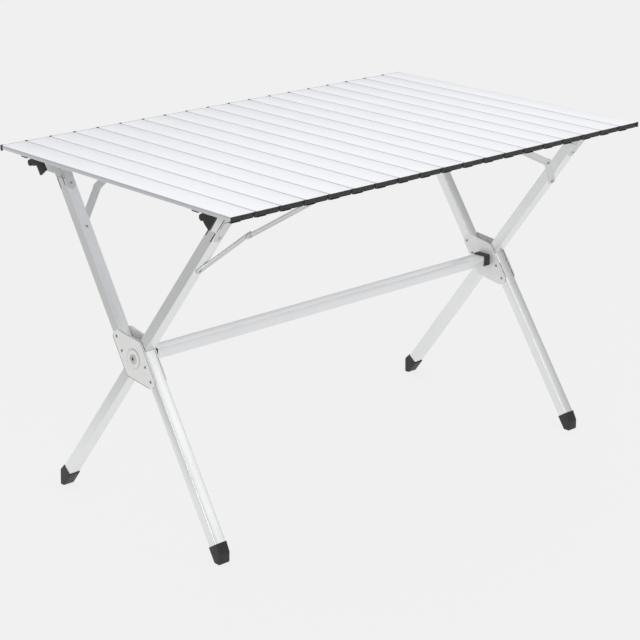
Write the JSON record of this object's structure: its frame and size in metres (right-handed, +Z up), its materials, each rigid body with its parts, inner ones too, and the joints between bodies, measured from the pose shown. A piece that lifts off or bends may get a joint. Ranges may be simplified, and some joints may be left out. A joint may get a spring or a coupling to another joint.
{
  "type": "roll-top camping table",
  "caption": "Folding camping table with a slatted aluminium roll top on two X shaped leg frames, joined by rails and a stretcher, with side stays, latches and black feet.",
  "frame": {"origin": "on the floor, under the middle of the top", "axes": "+X along the length, with the latched end at -X; -Y is the front, the side of the long legs' tops; +Z up"},
  "size_m": [1.1, 0.7, 0.7],
  "materials": {
    "top_aluminium": "fine matt anodised",
    "frame_aluminium": "satin anodised",
    "steel": "satin plated",
    "black_plastic": "fine matt moulded"
  },
  "bodies": {
    "split_leg_frame": {"split_leg_upper_left": "frame_aluminium", "split_leg_lower_left": "frame_aluminium", "hinge_plate_outer_left": "frame_aluminium", "hinge_plate_inner_left": "frame_aluminium", "pivot_bolt_left": "steel", "foot_front_left": "black_plastic", "bracket_rear_left": "frame_aluminium", "stay_lower_rear_left": "frame_aluminium", "stay_upper_rear_left": "frame_aluminium", "stretcher_collar_left": "black_plastic", "split_leg_upper_right": "frame_aluminium", "split_leg_lower_right": "frame_aluminium", "hinge_plate_outer_right": "frame_aluminium", "hinge_plate_inner_right": "frame_aluminium", "pivot_bolt_right": "steel", "foot_front_right": "black_plastic", "bracket_rear_right": "frame_aluminium", "stay_lower_rear_right": "frame_aluminium", "stay_upper_rear_right": "frame_aluminium", "stretcher_collar_right": "black_plastic", "stretcher": "frame_aluminium", "rail_rear": "frame_aluminium"},
    "long_leg_frame": {"long_leg_left": "frame_aluminium", "foot_rear_left": "black_plastic", "bracket_front_left": "frame_aluminium", "stay_lower_front_left": "frame_aluminium", "stay_upper_front_left": "frame_aluminium", "long_leg_right": "frame_aluminium", "foot_rear_right": "black_plastic", "bracket_front_right": "frame_aluminium", "stay_lower_front_right": "frame_aluminium", "stay_upper_front_right": "frame_aluminium", "rail_front": "frame_aluminium"},
    "tabletop": {"slat_01": "top_aluminium", "front_latch_base": "black_plastic", "rear_latch_base": "black_plastic"},
    "rolling_slat_02": {"slat_02": "top_aluminium"},
    "rolling_slat_03": {"slat_03": "top_aluminium"},
    "rolling_slat_04": {"slat_04": "top_aluminium"},
    "rolling_slat_05": {"slat_05": "top_aluminium"},
    "rolling_slat_06": {"slat_06": "top_aluminium"},
    "rolling_slat_07": {"slat_07": "top_aluminium"},
    "rolling_slat_08": {"slat_08": "top_aluminium"},
    "rolling_slat_09": {"slat_09": "top_aluminium"},
    "rolling_slat_10": {"slat_10": "top_aluminium"},
    "rolling_slat_11": {"slat_11": "top_aluminium"},
    "rolling_slat_12": {"slat_12": "top_aluminium"},
    "rolling_slat_13": {"slat_13": "top_aluminium"},
    "rolling_slat_14": {"slat_14": "top_aluminium"},
    "rolling_slat_15": {"slat_15": "top_aluminium"},
    "rolling_slat_16": {"slat_16": "top_aluminium"},
    "rolling_slat_17": {"slat_17": "top_aluminium"},
    "rolling_slat_18": {"slat_18": "top_aluminium"},
    "rolling_slat_19": {"slat_19": "top_aluminium"},
    "front_lever": {"front_latch_lever": "black_plastic"},
    "rear_lever": {"rear_latch_lever": "black_plastic"}
  },
  "joints": [
    {"name": "scissor", "type": "hinge", "parent": "split_leg_frame", "child": "long_leg_frame", "pos_m": [0, -0.003, 0.3395], "axis": [-1, 0, 0], "range_deg": [0, 70.2]},
    {"name": "top_lift", "type": "slide", "parent": "split_leg_frame", "child": "tabletop", "axis": [0, 0, 1], "range_m": [0, 0.37]},
    {"name": "roll_02", "type": "hinge", "parent": "tabletop", "child": "rolling_slat_02", "pos_m": [-0.49224, 0, 0.7], "axis": [0, -1, 0], "range_deg": [0, 28]},
    {"name": "roll_03", "type": "hinge", "parent": "rolling_slat_02", "child": "rolling_slat_03", "pos_m": [-0.43433, 0, 0.7], "axis": [0, -1, 0], "range_deg": [0, 29.26]},
    {"name": "roll_04", "type": "hinge", "parent": "rolling_slat_03", "child": "rolling_slat_04", "pos_m": [-0.37642, 0, 0.7], "axis": [0, -1, 0], "range_deg": [0, 30.52]},
    {"name": "roll_05", "type": "hinge", "parent": "rolling_slat_04", "child": "rolling_slat_05", "pos_m": [-0.31851, 0, 0.7], "axis": [0, -1, 0], "range_deg": [0, 31.78]},
    {"name": "roll_06", "type": "hinge", "parent": "rolling_slat_05", "child": "rolling_slat_06", "pos_m": [-0.2606, 0, 0.7], "axis": [0, -1, 0], "range_deg": [0, 33.04]},
    {"name": "roll_07", "type": "hinge", "parent": "rolling_slat_06", "child": "rolling_slat_07", "pos_m": [-0.20269, 0, 0.7], "axis": [0, -1, 0], "range_deg": [0, 34.3]},
    {"name": "roll_08", "type": "hinge", "parent": "rolling_slat_07", "child": "rolling_slat_08", "pos_m": [-0.14478, 0, 0.7], "axis": [0, -1, 0], "range_deg": [0, 35.56]},
    {"name": "roll_09", "type": "hinge", "parent": "rolling_slat_08", "child": "rolling_slat_09", "pos_m": [-0.08687, 0, 0.7], "axis": [0, -1, 0], "range_deg": [0, 36.82]},
    {"name": "roll_10", "type": "hinge", "parent": "rolling_slat_09", "child": "rolling_slat_10", "pos_m": [-0.02896, 0, 0.7], "axis": [0, -1, 0], "range_deg": [0, 38.08]},
    {"name": "roll_11", "type": "hinge", "parent": "rolling_slat_10", "child": "rolling_slat_11", "pos_m": [0.02896, 0, 0.7], "axis": [0, -1, 0], "range_deg": [0, 39.34]},
    {"name": "roll_12", "type": "hinge", "parent": "rolling_slat_11", "child": "rolling_slat_12", "pos_m": [0.08687, 0, 0.7], "axis": [0, -1, 0], "range_deg": [0, 40.6]},
    {"name": "roll_13", "type": "hinge", "parent": "rolling_slat_12", "child": "rolling_slat_13", "pos_m": [0.14478, 0, 0.7], "axis": [0, -1, 0], "range_deg": [0, 41.86]},
    {"name": "roll_14", "type": "hinge", "parent": "rolling_slat_13", "child": "rolling_slat_14", "pos_m": [0.20269, 0, 0.7], "axis": [0, -1, 0], "range_deg": [0, 43.12]},
    {"name": "roll_15", "type": "hinge", "parent": "rolling_slat_14", "child": "rolling_slat_15", "pos_m": [0.2606, 0, 0.7], "axis": [0, -1, 0], "range_deg": [0, 44.38]},
    {"name": "roll_16", "type": "hinge", "parent": "rolling_slat_15", "child": "rolling_slat_16", "pos_m": [0.31851, 0, 0.7], "axis": [0, -1, 0], "range_deg": [0, 45.64]},
    {"name": "roll_17", "type": "hinge", "parent": "rolling_slat_16", "child": "rolling_slat_17", "pos_m": [0.37642, 0, 0.7], "axis": [0, -1, 0], "range_deg": [0, 46.9]},
    {"name": "roll_18", "type": "hinge", "parent": "rolling_slat_17", "child": "rolling_slat_18", "pos_m": [0.43433, 0, 0.7], "axis": [0, -1, 0], "range_deg": [0, 48.16]},
    {"name": "roll_19", "type": "hinge", "parent": "rolling_slat_18", "child": "rolling_slat_19", "pos_m": [0.49224, 0, 0.7], "axis": [0, -1, 0], "range_deg": [0, 49.42]},
    {"name": "front_latch", "type": "hinge", "parent": "tabletop", "child": "front_lever", "pos_m": [-0.543, -0.2645, 0.6816], "axis": [1, 0, 0], "range_deg": [0, 90]},
    {"name": "rear_latch", "type": "hinge", "parent": "tabletop", "child": "rear_lever", "pos_m": [-0.543, 0.2593, 0.681], "axis": [1, 0, 0], "range_deg": [0, 90]}
  ],
  "couplings": [
    {"joint": "top_lift", "follows": "scissor", "m_per_rad": 0.3},
    {"joint": "roll_03", "follows": "roll_02", "ratio": 1.045},
    {"joint": "roll_04", "follows": "roll_02", "ratio": 1.09},
    {"joint": "roll_05", "follows": "roll_02", "ratio": 1.135},
    {"joint": "roll_06", "follows": "roll_02", "ratio": 1.18},
    {"joint": "roll_07", "follows": "roll_02", "ratio": 1.225},
    {"joint": "roll_08", "follows": "roll_02", "ratio": 1.27},
    {"joint": "roll_09", "follows": "roll_02", "ratio": 1.315},
    {"joint": "roll_10", "follows": "roll_02", "ratio": 1.36},
    {"joint": "roll_11", "follows": "roll_02", "ratio": 1.405},
    {"joint": "roll_12", "follows": "roll_02", "ratio": 1.45},
    {"joint": "roll_13", "follows": "roll_02", "ratio": 1.495},
    {"joint": "roll_14", "follows": "roll_02", "ratio": 1.54},
    {"joint": "roll_15", "follows": "roll_02", "ratio": 1.585},
    {"joint": "roll_16", "follows": "roll_02", "ratio": 1.63},
    {"joint": "roll_17", "follows": "roll_02", "ratio": 1.675},
    {"joint": "roll_18", "follows": "roll_02", "ratio": 1.72},
    {"joint": "roll_19", "follows": "roll_02", "ratio": 1.765}
  ]
}
